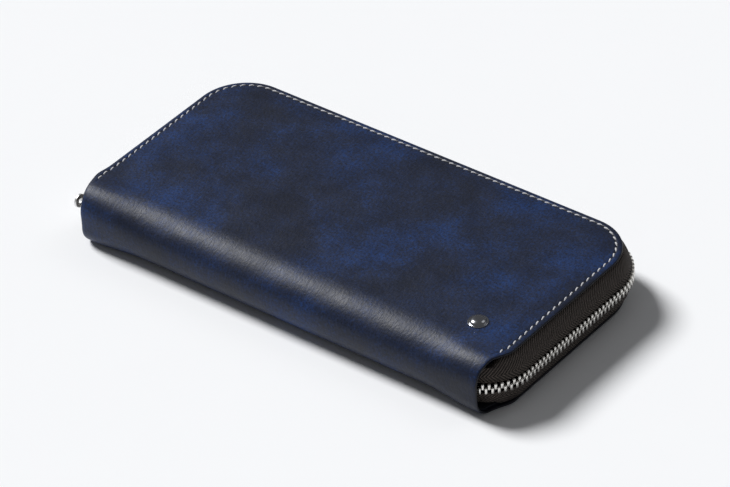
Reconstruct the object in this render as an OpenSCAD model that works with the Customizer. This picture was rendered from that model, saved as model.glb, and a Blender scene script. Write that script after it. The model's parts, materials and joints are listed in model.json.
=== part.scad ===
// Long zip-around wallet: two stiffened leather covers joined by a spine and closed by one zip
// that runs round three sides. It is drawn closed, lying flat.
// X runs along the spine, Y runs from the spine to the zipped back edge, Z points up.
// The origin is the centre of the face that the wallet lies on. All sizes are millimetres.

/* [Wallet] */
// Length along the spine
wallet_l = 197; // [185:1:210]
// Depth of the covers, from the spine's outer face to the back edge
wallet_w = 98; // [94:1:104]
// Thickness when closed
wallet_h = 24; // [24:0.5:28]
// Corner radius of the covers at the back
corner_r = 20; // [16:1:24]

/* [Spine] */
// Outer radius of the leather at each fold
fold_r = 9; // [8:0.5:9.5]
// How far the spine stops short of the covers at each end
spine_inset = 4; // [3:0.5:5]

/* [Layers] */
// Cover leather thickness
leather_t = 1.3; // [1.1:0.1:1.3]
// Stiffener board thickness
board_t = 0.6; // [0.4:0.1:0.6]
// Lining thickness
lining_t = 0.35; // [0.2:0.05:0.35]
// Thickness of the thin leather used for the pocket panels
panel_t = 0.4; // [0.3:0.05:0.4]

/* [Zip] */
// Distance between teeth of one row
tooth_pitch = 2.3; // [2.2:0.1:2.8]
// How far the chain's centre line stands outside the covers
chain_offset = 3; // [2.5:0.25:3]
// Distance from the slider's middle to the turn beside the spine
slider_gap = 5; // [5:0.5:8]
// Length of the puller from its pin to its tip
puller_l = 19; // [15:1:24]

/* [Stitching] */
// Distance between stitches
stitch_pitch = 3.45; // [3:0.05:4]
// Distance from the stitch line to the cover's edge
stitch_inset = 2.5; // [2:0.25:3]

/* [Card slots] */
// Distance from one strip's top edge to the next
tier_step = 13; // [10:1:14]

/* [Coin pocket] */
// Hollow thickness of the coin pocket
coin_gap = 4.6; // [4.4:0.1:4.6]
// Size of the coin zip against the main zip
coin_zip_scale = 0.64; // [0.56:0.02:0.64]

/* [Hidden] */
$fn = 64;
half_l = wallet_l / 2;
half_w = wallet_w / 2;
mid = wallet_h / 2;
layer_gap = 0.05;

// Folds and mitres
fold_y = fold_r - half_w;
spine_half = half_l - spine_inset;
waist_l = 7;
mitre_gap = 0.3;
mitre_a = mitre_gap / 2 / fold_r * 180 / PI;

// Heights of the layers above the outer face of a cover
board_z = leather_t + layer_gap;
lining_z = board_z + board_t + layer_gap;
bill_slack = 0.4;
panel_z = lining_z + lining_t + bill_slack;
tier_z = panel_z + panel_t + layer_gap;
tier_rise = panel_t + layer_gap;

// Outlines of the layers, measured in from the cover's edge
board_inset = 6;
lining_inset = 1.6;
panel_inset = 4;
inner_y = fold_y + 2;
tier_count = 3;
tier_half = 90;
tier_top = half_w - 12;
tier_overlap = 5;
tier_foot = 1.5;

// Zip tape: a curved wall from under the cover's edge up to the chain
tape_t = 0.5;
tape_wall_r = 15;
tape_flange = 5;
tape_edge = 2.3;
tape_top = mid - tape_edge;
tape_upright = mid - 1;
tape_out = chain_offset + 0.1;
turn_r = 15;
turn_y = fold_y + 11;
turn_x = half_l - turn_r;
turn_a = 62;
turn_split_a = 44;
turn_clip_z = 2.6;

// Zip chain
tooth_gap = 0.05;
tooth_w = tooth_pitch / 2 - tooth_gap;
tooth_depth = 2.2;
tooth_base = 2.25;
tooth_tip = 0.6;
slider_l = 9;
slider_y = turn_y + slider_gap;
chain_r = corner_r + chain_offset;
back_half = half_l - corner_r;
corner_arc = PI * chain_r / 2;
corner_y = half_w - corner_r;
chain_turn_a = 56;
chain_end = back_half + corner_arc + corner_y - turn_y
          + (turn_r + chain_offset) * chain_turn_a * PI / 180;
chain_start = -(back_half + corner_arc + corner_y - slider_y - 1.5);
stop_l = 1.6;
stop_start = -(back_half + corner_arc + corner_y - slider_y + slider_l / 2 + stop_l);
stop_end = chain_end + tooth_pitch;

// Stitching
stitch_w = 0.5;
stitch_l = 2.1;
groove_w = 0.8;
groove_depth = 0.55;
stitch_side_end = fold_y + 4.6;
stitch_back = half_l - corner_r;
stitch_half = stitch_back + PI * (corner_r - stitch_inset) / 2 + corner_y - stitch_side_end;

// Badge
badge_x = 78;
badge_y = -26.3;
badge_r = 4;
badge_h = 1.8;
post_r = 1;

// Coin pocket
coin_half = 88;
coin_panel_t = 0.5;
coin_front = fold_y;
coin_back = half_w - 15;
coin_low = mid - coin_gap / 2 - coin_panel_t;
coin_chain_y = coin_back + 3.8;
coin_start = -coin_half + 10;
coin_end = coin_half - 6;
coin_tape_t = 0.45;
coin_pitch = tooth_pitch * coin_zip_scale;
anchor_half = 80;

// ---------------------------------------------------------------- outlines and paths

function arc(centre, r, a0, a1, n) =
  [for (i = [0:n]) let (a = a0 + (a1 - a0) * i / n) centre + r * [cos(a), sin(a)]];

function flipped(points) =
  [for (i = [len(points) - 1:-1:0]) [-points[i][0], points[i][1]]];

function reversed(points) = [for (i = [len(points) - 1:-1:0]) points[i]];

function smooth(t) = t * t * (3 - 2 * t);

// Right side of a cover: the waist beside the spine, the straight end and the back corner
function waist(inset) =
  [for (i = [0:8]) [spine_half + spine_inset * smooth(i / 8) - inset, fold_y + waist_l * i / 8]];

function cover_side(inset) =
  concat(waist(inset), arc([back_half, corner_y], corner_r - inset, 0, 90, 16));

// Point at distance s along the rim, counted from the middle of the back edge, on a path that
// runs offset outside the covers and turns in beside the spine. Gives [x, y, outward angle].
function rim_right(offset, s, turn_at) =
  let (r = corner_r + offset)
  let (past_back = s - back_half)
  let (past_corner = past_back - PI * r / 2)
  let (past_side = past_corner - (corner_y - turn_at))
  past_back < 0 ? [s, half_w + offset, 90]
  : past_corner < 0
    ? let (a = 90 - past_back / r * 180 / PI) [back_half + r * cos(a), corner_y + r * sin(a), a]
  : past_side < 0 ? [half_l + offset, corner_y - past_corner, 0]
  : let (tr = turn_r + offset)
    let (a = -past_side / tr * 180 / PI)
    [turn_x + tr * cos(a), turn_at + tr * sin(a), a];

function rim(offset, s, turn_at) =
  let (p = rim_right(offset, abs(s), turn_at))
  s < 0 ? [-p[0], p[1], 180 - p[2]] : p;

// Puts children on the rim path: local X points outwards, local Y runs along the path
module at_rim(offset, s, turn_at) {
  p = rim(offset, s, turn_at);
  translate([p[0], p[1], 0])
    rotate([0, 0, p[2]])
      children();
}

// Turns a part of the lower cover into its twin on the upper cover
module upper() {
  translate([0, 0, wallet_h])
    mirror([0, 0, 1])
      children();
}

// Extrudes a section drawn in the Y-Z plane along X, both ways from the middle
module along_x(half) {
  translate([-half, 0, 0])
    rotate([90, 0, 90])
      linear_extrude(2 * half)
        children();
}

// Flat layer between two heights, with a cover's outline moved in by inset, from y0 to y1
module layer(z, t, inset, y0, y1) {
  translate([0, 0, z])
    linear_extrude(t)
      intersection() {
        polygon(concat(cover_side(inset), flipped(cover_side(inset))));
        translate([-half_l, y0])
          square([wallet_l, y1 - y0]);
      }
}

// ---------------------------------------------------------------- leather shell

// Part of the ring of leather round a fold, between two angles
module fold_ring(a0, a1) {
  intersection() {
    difference() {
      circle(fold_r);
      circle(fold_r - leather_t);
    }
    polygon([
      [0, 0],
      2 * fold_r * [cos(a0), sin(a0)],
      2 * fold_r * [cos(a1), sin(a1)]
    ]);
  }
}

// U-shaped groove that the stitches lie in
module stitch_groove() {
  outer = stitch_inset - groove_w / 2;
  inner = stitch_inset + groove_w / 2;
  outer_path = concat([[half_l - outer, stitch_side_end - 1]],
                      arc([back_half, corner_y], corner_r - outer, 0, 90, 16));
  inner_path = concat([[half_l - inner, stitch_side_end - 1]],
                      arc([back_half, corner_y], corner_r - inner, 0, 90, 16));
  translate([0, 0, -1])
    linear_extrude(groove_depth + 1)
      polygon(concat(outer_path, flipped(outer_path), reversed(flipped(inner_path)),
                     reversed(inner_path)));
}

module cover_leather() {
  difference() {
    union() {
      linear_extrude(leather_t)
        polygon(concat(cover_side(0), flipped(cover_side(0))));
      along_x(spine_half)
        translate([fold_y, fold_r])
          fold_ring(225 + mitre_a, 270);
    }
    stitch_groove();
  }
}

module leather_bottom() {
  color("midnightblue") cover_leather();
}

module leather_top() {
  color("midnightblue")
    difference() {
      upper() cover_leather();
      translate([badge_x, badge_y, wallet_h - leather_t - 1])
        cylinder(r = post_r + 0.05, h = leather_t + 2);
    }
}

module leather_spine() {
  color("midnightblue")
    along_x(spine_half)
      union() {
        translate([-half_w, fold_r])
          square([leather_t, wallet_h - 2 * fold_r]);
        translate([fold_y, fold_r])
          fold_ring(180, 225 - mitre_a);
        translate([fold_y, wallet_h - fold_r])
          fold_ring(135 + mitre_a, 180);
      }
}

module lining_spine() {
  lining_half_h = mid - fold_r - 1;
  color("dimgray")
    translate([-anchor_half - 6, leather_t + layer_gap - half_w, mid - lining_half_h])
      cube([2 * anchor_half + 12, lining_t, 2 * lining_half_h]);
}

// ---------------------------------------------------------------- cover linings and pockets

module board() {
  layer(board_z, board_t, board_inset, inner_y, half_w);
}

module board_bottom() {
  color("tan") board();
}

module board_top() {
  color("tan") upper() board();
}

module lining() {
  layer(lining_z, lining_t, lining_inset, inner_y, half_w);
}

module lining_bottom() {
  color("dimgray") lining();
}

module lining_top() {
  color("dimgray") upper() lining();
}

// Large panel behind the card slots; the notes go between it and the lining
module bill_panel() {
  layer(panel_z, panel_t, panel_inset, inner_y + 1, tier_top + 6);
}

module bill_panel_lower() {
  color("darkslateblue") bill_panel();
}

module bill_panel_upper() {
  color("darkslateblue") upper() bill_panel();
}

// One strip of card slots. Each strip covers the foot of the one behind it; the last one
// reaches down to the spine.
module card_strip(i) {
  top = tier_top - i * tier_step;
  foot = i < tier_count ? top - tier_step - tier_overlap : inner_y + tier_foot;
  translate([-tier_half, foot, tier_z + (i - 1) * tier_rise])
    cube([2 * tier_half, top - foot, panel_t]);
}

module card_strip_lower_1() {
  color("navy") card_strip(1);
}

module card_strip_lower_2() {
  color("navy") card_strip(2);
}

module card_strip_lower_3() {
  color("navy") card_strip(3);
}

module card_strip_upper_1() {
  color("navy") upper() card_strip(1);
}

module card_strip_upper_2() {
  color("navy") upper() card_strip(2);
}

module card_strip_upper_3() {
  color("navy") upper() card_strip(3);
}

// ---------------------------------------------------------------- stitching

module stitching() {
  count = floor(stitch_half / stitch_pitch);
  for (i = [-count:count])
    at_rim(-stitch_inset, i * stitch_half / count, stitch_side_end - 1)
      translate([0, 0, stitch_w / 2 + 0.02])
        rotate([90, 0, 0])
          cylinder(d = stitch_w, h = stitch_l, center = true, $fn = 16);
}

module stitching_bottom() {
  color("lightgray") stitching();
}

module stitching_top() {
  color("lightgray") upper() stitching();
}

// ---------------------------------------------------------------- main zip

// Section of the tape: X is the distance outside the cover's edge, Y is the height
module tape_section() {
  intersection() {
    translate([tape_out - tape_wall_r, tape_upright])
      difference() {
        circle(tape_wall_r);
        circle(tape_wall_r - tape_t);
      }
    translate([-tape_flange, board_z])
      square([tape_flange + tape_out + 1, tape_top - board_z]);
  }
  translate([-tape_flange, board_z])
    square([tape_flange - 0.9, tape_t]);
}

// Turn of the tape beside the spine. Its foot is cut away where it would meet the fold.
module tape_turn() {
  translate([turn_x, turn_y, 0])
    mirror([0, 1, 0])
      difference() {
        rotate_extrude(angle = turn_a)
          translate([turn_r, 0])
            tape_section();
        rotate([0, 0, turn_split_a])
          translate([0, 0, -1])
            cube([2 * turn_r, 2 * turn_r, turn_clip_z + 1]);
      }
}

module tape_right() {
  translate([0, half_w, 0])
    rotate([90, 0, 90])
      linear_extrude(back_half)
        tape_section();
  translate([back_half, corner_y, 0])
    rotate_extrude(angle = 90)
      translate([corner_r, 0])
        tape_section();
  translate([half_l, corner_y, 0])
    rotate([90, 0, 0])
      linear_extrude(corner_y - turn_y)
        tape_section();
  tape_turn();
}

module zip_tape() {
  tape_right();
  mirror([1, 0, 0]) tape_right();
}

module zip_tape_lower() {
  color("#3a332f") zip_tape();
}

module zip_tape_upper() {
  color("#3a332f") upper() zip_tape();
}

// Tooth of the lower row: X outwards, Y along the chain, Z up, origin on the chain's centre line
module tooth() {
  translate([-tooth_depth / 2, 0, 0])
    rotate([90, 0, 90])
      linear_extrude(tooth_depth)
        polygon([
          [-tooth_w / 2, -tooth_base],
          [tooth_w / 2, -tooth_base],
          [tooth_w / 2, tooth_tip - 0.4],
          [tooth_w / 4, tooth_tip],
          [-tooth_w / 4, tooth_tip],
          [-tooth_w / 2, tooth_tip - 0.4]
        ]);
}

// Metal block that ends a row, beside the last tooth of the lower row
module row_stop() {
  translate([-tooth_depth / 2, -stop_l / 2, -tooth_base])
    cube([tooth_depth, stop_l, tooth_base - 0.4]);
}

// Row of teeth; shift moves it along the chain by a part of the pitch
module zip_row(shift) {
  first = ceil(chain_start / tooth_pitch);
  last = floor(chain_end / tooth_pitch) - 1;
  for (i = [first:last])
    at_rim(chain_offset, (i + shift) * tooth_pitch, turn_y)
      translate([0, 0, mid])
        tooth();
}

module zip_stops() {
  for (s = [stop_start, stop_end])
    at_rim(chain_offset, s, turn_y)
      translate([0, 0, mid])
        row_stop();
}

module zip_teeth_lower() {
  color("silver") zip_row(0.5);
}

module zip_teeth_upper() {
  color("silver") upper() zip_row(0);
}

module zip_stops_lower() {
  color("silver") zip_stops();
}

module zip_stops_upper() {
  color("silver") upper() zip_stops();
}

// Slider in the chain's own frame: X outwards, Y along the chain, nose at -Y. The inner plate
// is inner_half wide each way; from full width up it also carries flanges.
module slider_body(inner_half) {
  plate_t = 0.9;
  plate_x = tooth_depth / 2 + 0.3;
  full_half = 4.3;
  flange_half = 3.1;
  bridge_half = 2.6;
  bridge_w = 1.6;
  bridge_gap = 1.4;
  // Outer and inner plates
  translate([plate_x, -slider_l / 2, -full_half])
    cube([plate_t, slider_l, 2 * full_half]);
  translate([-plate_x - plate_t, -slider_l / 2, -inner_half])
    cube([plate_t, slider_l, 2 * inner_half]);
  // Divider at the nose, which spreads the two rows
  translate([-plate_x, -slider_l / 2, -0.9])
    cube([2 * plate_x, 2.2, 1.8]);
  // Flanges that hold the teeth in and leave a slot for each tape
  for (side = [-1, 1]) {
    translate([0.4, -slider_l / 2, side > 0 ? flange_half : -full_half])
      cube([plate_x - 0.4, slider_l, full_half - flange_half]);
    if (inner_half >= full_half)
      translate([-plate_x, -slider_l / 2, side > 0 ? flange_half : -full_half])
        cube([plate_x - 1.05, slider_l, full_half - flange_half]);
  }
  // Bridge that holds the puller's pin
  difference() {
    translate([plate_x + plate_t, -bridge_half, -bridge_w / 2])
      cube([bridge_gap + 0.7, 2 * bridge_half, bridge_w]);
    translate([plate_x + plate_t, -bridge_gap, -bridge_w])
      cube([bridge_gap, 2 * bridge_gap, 2 * bridge_w]);
  }
}

pin_x = tooth_depth / 2 + 0.3 + 0.9 + 0.7;

// Puller in the same frame: it lies flat, pointing to -Y, and turns on its pin along Z
module puller_body(length) {
  thickness = 1.2;
  width = 5.6;
  arm_w = 0.9;
  arm_in = 1.1;
  plate_start = 3.2;
  pin_r = 0.5;
  translate([pin_x, 0, 0]) {
    cylinder(r = pin_r, h = 2 * (arm_in + arm_w), center = true, $fn = 32);
    for (side = [-1, 1])
      translate([0, 0, side > 0 ? arm_in : -arm_in - arm_w]) {
        cylinder(d = thickness, h = arm_w, $fn = 32);
        translate([-thickness / 2, -plate_start - 0.5, 0])
          cube([thickness, plate_start + 0.5, arm_w]);
      }
    difference() {
      union() {
        translate([-thickness / 2, -(length - width / 2), -width / 2])
          cube([thickness, length - width / 2 - plate_start, width]);
        translate([0, -(length - width / 2), 0])
          rotate([0, 90, 0])
            cylinder(d = width, h = thickness, center = true);
      }
      translate([0, -(length - width / 2), 0])
        rotate([0, 90, 0])
          cylinder(d = 2.4, h = 2 * thickness, center = true);
    }
  }
}

// The main slider rests closed, at the left end beside the spine
module at_main_slider() {
  mirror([1, 0, 0])
    translate([half_l + chain_offset, slider_y, mid])
      children();
}

module zip_slider() {
  color("gainsboro") at_main_slider() slider_body(4.3);
}

module zip_puller() {
  color("gainsboro") at_main_slider() puller_body(puller_l);
}

// ---------------------------------------------------------------- coin pocket

module coin_panel_lower() {
  color("darkslateblue")
    translate([-coin_half, coin_front, coin_low])
      cube([2 * coin_half, coin_back - coin_front, coin_panel_t]);
}

module coin_panel_upper() {
  color("darkslateblue")
    translate([-coin_half, coin_front, mid + coin_gap / 2])
      cube([2 * coin_half, coin_back - coin_front, coin_panel_t]);
}

// Strip that closes the pocket on the right
module coin_side() {
  translate([coin_half - 1.5, coin_front + 1, mid - coin_gap / 2 + layer_gap])
    cube([0.5, coin_back - coin_front - 1, coin_gap - 2 * layer_gap]);
}

module coin_side_right() {
  color("darkslateblue") coin_side();
}

module coin_side_left() {
  color("darkslateblue") mirror([1, 0, 0]) coin_side();
}

// Floor of the pocket and the tab that joins it to the spine
module coin_anchor() {
  spine_face = leather_t + lining_t + 2 * layer_gap - half_w;
  color("darkslateblue")
    union() {
      translate([-anchor_half, spine_face, mid - 0.25])
        cube([2 * anchor_half, coin_front + 0.5 - spine_face, 0.5]);
      translate([-coin_half + 2, coin_front, mid - coin_gap / 2 + layer_gap])
        cube([2 * coin_half - 4, 0.5, coin_gap - 2 * layer_gap]);
    }
}

module coin_tape() {
  edge_z = mid - tape_edge * coin_zip_scale;
  along_x(coin_half - 2)
    union() {
      translate([coin_back + layer_gap, coin_low])
        square([coin_chain_y - coin_back, coin_panel_t]);
      translate([coin_chain_y + layer_gap - coin_tape_t, coin_low])
        square([coin_tape_t, edge_z - coin_low]);
    }
}

module coin_tape_lower() {
  color("#3a332f") coin_tape();
}

module coin_tape_upper() {
  color("#3a332f") upper() coin_tape();
}

// Puts main zip pieces on the coin chain: outwards becomes +Y, the nose points to -X
module at_coin_chain(x) {
  translate([x, coin_chain_y, mid])
    rotate([0, 0, 90])
      mirror([0, 1, 0])
        scale(coin_zip_scale)
          children();
}

module coin_row(shift) {
  first = ceil(coin_start / coin_pitch);
  last = floor(coin_end / coin_pitch);
  for (i = [first:last])
    at_coin_chain((i + shift) * coin_pitch)
      tooth();
}

module coin_teeth_lower() {
  color("silver") coin_row(0.5);
}

module coin_teeth_upper() {
  color("silver") upper() coin_row(0);
}

module coin_stops() {
  color("silver")
    for (x = [coin_start - 5, coin_end + 2]) {
      at_coin_chain(x) row_stop();
      upper() at_coin_chain(x) row_stop();
    }
}

module coin_slider() {
  color("gainsboro") at_coin_chain(coin_start - 1) slider_body(3.1);
}

module coin_puller() {
  color("gainsboro") at_coin_chain(coin_start - 1) puller_body(14);
}

// ---------------------------------------------------------------- badge

// Plain domed stud on the top cover, with a post through the leather
module badge_stud() {
  rim_h = 0.5;
  dome_h = badge_h - rim_h;
  dome_r = ((badge_r - 0.5) * (badge_r - 0.5) + dome_h * dome_h) / (2 * dome_h);
  color("slategray")
    translate([badge_x, badge_y, wallet_h + layer_gap]) {
      cylinder(r = badge_r, h = rim_h);
      intersection() {
        translate([0, 0, badge_h - dome_r])
          sphere(r = dome_r, $fn = 96);
        cylinder(r = badge_r - 0.5, h = badge_h + 1);
      }
      translate([0, 0, -leather_t])
        cylinder(r = post_r, h = leather_t + 0.1);
    }
}

leather_bottom();
board_bottom();
lining_bottom();
stitching_bottom();
zip_tape_lower();
zip_teeth_lower();
zip_stops_lower();
bill_panel_lower();
card_strip_lower_1();
card_strip_lower_2();
card_strip_lower_3();
leather_spine();
lining_spine();
coin_anchor();
coin_panel_lower();
coin_panel_upper();
coin_side_left();
coin_side_right();
coin_tape_lower();
coin_tape_upper();
coin_teeth_lower();
coin_teeth_upper();
coin_stops();
coin_slider();
coin_puller();
leather_top();
board_top();
lining_top();
stitching_top();
zip_tape_upper();
zip_teeth_upper();
zip_stops_upper();
bill_panel_upper();
card_strip_upper_1();
card_strip_upper_2();
card_strip_upper_3();
badge_stud();
zip_slider();
zip_puller();
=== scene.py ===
# Zip around wallet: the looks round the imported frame. X runs along the spine, Y from the spine to
# the back edge, Z up. Geometry code works in millimetres; add_mesh() turns them into metres.
import json
import math

import bmesh
import bpy
import numpy as np
from mathutils import Matrix, Vector


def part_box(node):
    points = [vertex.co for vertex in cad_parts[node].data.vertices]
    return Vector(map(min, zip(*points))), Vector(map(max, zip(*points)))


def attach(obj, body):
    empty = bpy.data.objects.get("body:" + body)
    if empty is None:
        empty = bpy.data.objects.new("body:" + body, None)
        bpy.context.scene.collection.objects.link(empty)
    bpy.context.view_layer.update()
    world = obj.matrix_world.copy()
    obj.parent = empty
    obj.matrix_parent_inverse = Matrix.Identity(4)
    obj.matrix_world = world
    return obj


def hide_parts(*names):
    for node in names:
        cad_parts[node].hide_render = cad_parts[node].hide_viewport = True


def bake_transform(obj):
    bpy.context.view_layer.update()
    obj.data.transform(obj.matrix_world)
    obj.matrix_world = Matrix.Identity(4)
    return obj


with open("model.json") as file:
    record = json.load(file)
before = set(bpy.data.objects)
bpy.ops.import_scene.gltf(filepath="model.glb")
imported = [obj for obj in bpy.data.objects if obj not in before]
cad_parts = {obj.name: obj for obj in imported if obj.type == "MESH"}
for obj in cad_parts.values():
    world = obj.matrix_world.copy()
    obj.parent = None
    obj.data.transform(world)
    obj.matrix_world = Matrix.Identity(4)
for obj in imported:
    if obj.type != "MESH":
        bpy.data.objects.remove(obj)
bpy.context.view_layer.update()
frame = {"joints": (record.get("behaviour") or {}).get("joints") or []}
MM = 0.001
UV_MM = 100.0  # one UV unit is 100 mm


def box_mm(node):
    lo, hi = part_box(node)
    return np.array(lo) / MM, np.array(hi) / MM


def middle_mm(node):
    return sum(box_mm(node)) / 2


def smooth(t):
    t = np.clip(t, 0.0, 1.0)
    return t * t * (3 - 2 * t)


# ---- measures taken from the frame
HALF_L, HALF_W, HEIGHT = box_mm("leather_top")[1]
MID = HEIGHT / 2
SPINE_HALF = box_mm("leather_spine")[1][0]
INSET = HALF_L - SPINE_HALF
# The fold's axis is at the middle of its arc, which starts on the table.
FOLD_AXIS_Z = next(j for j in frame["joints"] if j["name"] == "fold_lower")["pos_m"][2]
FOLD_R = FOLD_AXIS_Z / MM / (1 - 1 / math.sqrt(2))
FOLD_Y = FOLD_R - HALF_W
BOARD_LO, BOARD_HI = box_mm("board_bottom")
LAYER_GAP = 0.05  # between the leather and the board inside it
LEATHER_T = BOARD_LO[2] - LAYER_GAP
LINING_LO, LINING_HI = box_mm("lining_bottom")
TAPE_LO, TAPE_HI = box_mm("zip_tape_lower")
CORNER_R = 20.0  # of the covers' outline
CORNER_X = HALF_L - CORNER_R
CORNER_Y = HALF_W - CORNER_R
# v is the distance from the back edge along a cover, round its fold and down the spine.
V_FLAT = HALF_W - FOLD_Y
V_ARC = V_FLAT + FOLD_R * math.pi / 2
V_END = V_ARC + MID - FOLD_R


# ---- mesh helpers
def add_mesh(name, verts, faces, uvs, mats, edge=None, face_mats=None, angle=38):
    """Mesh object from millimetre vertices. uvs and edge are given per vertex."""
    me = bpy.data.meshes.new(name)
    me.from_pydata((np.asarray(verts, float) * MM).tolist(), [], faces)
    layer = me.uv_layers.new(name="cut")
    loops = np.zeros(len(me.loops), np.int32)
    me.loops.foreach_get("vertex_index", loops)
    layer.data.foreach_set("uv", (np.asarray(uvs, float)[loops] / UV_MM).ravel())
    if edge is not None:
        me.attributes.new("edge", "FLOAT", "POINT").data.foreach_set("value", np.asarray(edge, np.float32))
    for m in mats:
        me.materials.append(m)
    if face_mats is not None:
        me.polygons.foreach_set("material_index", np.asarray(face_mats, np.int32))
    bm = bmesh.new()
    bm.from_mesh(me)
    bmesh.ops.remove_doubles(bm, verts=bm.verts, dist=1e-7)
    bmesh.ops.recalc_face_normals(bm, faces=bm.faces)
    bm.to_mesh(me)
    bm.free()
    me.shade_smooth()
    me.set_sharp_from_angle(angle=math.radians(angle))
    ob = bpy.data.objects.new(name, me)
    bpy.context.scene.collection.objects.link(ob)
    return ob


class Pile:
    """Vertices and faces gathered from many small shapes."""

    def __init__(self):
        self.v, self.f, self.uv, self.m = [], [], [], []
        self.n = 0

    def add(self, verts, faces, uvs=None, mat=0):
        verts = np.asarray(verts, float)
        self.v.append(verts)
        self.uv.append(verts[:, :2] if uvs is None else np.asarray(uvs, float))
        self.f += [tuple(i + self.n for i in f) for f in faces]
        self.m += [mat] * len(faces)
        self.n += len(verts)

    def build(self, name, mats, **options):
        return add_mesh(name, np.concatenate(self.v), self.f, np.concatenate(self.uv), mats,
                        face_mats=self.m, **options)


def grid_faces(rows, cols, close_cols=False, close_rows=False, start=0):
    out = []
    for i in range(rows if close_rows else rows - 1):
        for j in range(cols if close_cols else cols - 1):
            a, b = start + i * cols, start + (i + 1) % rows * cols
            k = (j + 1) % cols
            out.append((a + j, a + k, b + k, b + j))
    return out


def run_along(points):
    """Distance along a line of points, at each of them."""
    return np.r_[0, np.cumsum(np.linalg.norm(np.diff(points, axis=0), axis=1))]


def lofted(sections):
    """Closed loops of equal length joined into a solid with flat ends."""
    rows, cols = len(sections), len(sections[0])
    faces = grid_faces(rows, cols, close_cols=True)
    faces += [tuple(range(cols))[::-1], tuple(range((rows - 1) * cols, rows * cols))]
    return np.concatenate(sections), faces


def rounded_rect(hx, hy, r, per_corner=3):
    """Loop of a rectangle with rounded corners, in its own plane."""
    r = min(r, hx, hy)
    out = []
    for cx, cy, a0 in ((1, 1, 0), (-1, 1, 90), (-1, -1, 180), (1, -1, 270)):
        for i in range(per_corner + 1):
            a = math.radians(a0 + 90 * i / per_corner)
            out.append((cx * (hx - r) + r * math.cos(a), cy * (hy - r) + r * math.sin(a)))
    return np.array(out)


def soft_box(lo, hi, r, per_corner=3):
    """Box with every edge rounded by r, as a loft along Z."""
    lo, hi = np.array(lo, float), np.array(hi, float)
    c, h = (lo + hi) / 2, (hi - lo) / 2
    r = min(r, h.min() * 0.98)
    sections = []
    for end in (-1, 1):
        turns = range(per_corner + 1) if end < 0 else range(per_corner, -1, -1)
        for i in turns:
            a = math.radians(90 * i / per_corner)
            d = r * (1 - math.sin(a))
            loop = rounded_rect(h[0] - d, h[1] - d, max(r - d, 0.02), per_corner)
            z = end * (h[2] - r + r * math.cos(a))
            sections.append(np.c_[loop + c[:2], np.full(len(loop), c[2] + z)])
    return lofted(sections)


def plate(outline, holes, thickness, bevel):
    """Flat plate with holes and rounded edges, from 2D loops. Its middle plane is z = 0."""
    cu = bpy.data.curves.new("plate", "CURVE")
    cu.dimensions, cu.fill_mode = "2D", "BOTH"
    for loop in [outline, *holes]:
        sp = cu.splines.new("POLY")
        sp.points.add(len(loop) - 1)
        sp.use_cyclic_u = True
        for p, q in zip(sp.points, loop):
            p.co = (q[0], q[1], 0, 1)
    cu.extrude = thickness / 2 - bevel
    cu.bevel_depth = bevel
    cu.bevel_resolution = 3
    cu.offset = -bevel
    ob = bpy.data.objects.new("plate", cu)
    bpy.context.scene.collection.objects.link(ob)
    me = ob.to_mesh()
    verts = np.array([v.co[:] for v in me.vertices])
    faces = [tuple(p.vertices) for p in me.polygons]
    ob.to_mesh_clear()
    bpy.data.objects.remove(ob)
    bpy.data.curves.remove(cu)
    return verts, faces


def tube(points, radius, sides=10, closed=False, squash=1.0):
    """Round rod along points, with radius a number or one per point."""
    p = np.asarray(points, float)
    n = len(p)
    radius = np.broadcast_to(radius, n)
    if closed:
        tangent = np.roll(p, -1, 0) - np.roll(p, 1, 0)
    else:
        tangent = np.gradient(p, axis=0)
    tangent /= np.linalg.norm(tangent, axis=1)[:, None]
    ref = np.eye(3)[np.abs(tangent).max(axis=0).argmin()]  # the axis that the rod runs along least
    side = np.cross(tangent, ref)
    side /= np.linalg.norm(side, axis=1)[:, None]
    up = np.cross(side, tangent)
    a = np.linspace(0, 2 * math.pi, sides, endpoint=False)
    ring = p[:, None] + radius[:, None, None] * (
        np.cos(a)[None, :, None] * side[:, None] + squash * np.sin(a)[None, :, None] * up[:, None])
    faces = grid_faces(n, sides, close_cols=True, close_rows=closed)
    if not closed:
        faces += [tuple(range(sides))[::-1], tuple(range((n - 1) * sides, n * sides))]
    return ring.reshape(-1, 3), faces


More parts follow.
